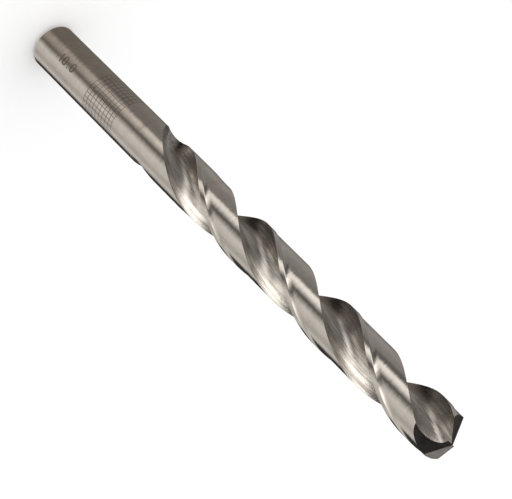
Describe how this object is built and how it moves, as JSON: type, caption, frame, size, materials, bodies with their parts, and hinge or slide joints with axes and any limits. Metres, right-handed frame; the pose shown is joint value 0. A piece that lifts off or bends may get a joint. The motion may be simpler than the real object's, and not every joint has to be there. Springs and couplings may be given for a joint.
{
  "type": "twist drill bit",
  "caption": "Right-hand twist drill bit with a cylindrical shank, helical flutes with ground margins, and a split point.",
  "frame": {"origin": "centre of the flat end face of the shank", "axes": "+Z along the drill's axis from the shank to the point, +X along one of the two lips"},
  "size_m": [0.01, 0.01, 0.133],
  "materials": {
    "ground_steel": "bright ground high speed steel with fine grinding lines"
  },
  "bodies": {
    "root": {"drill_bit": "ground_steel"}
  },
  "joints": []
}
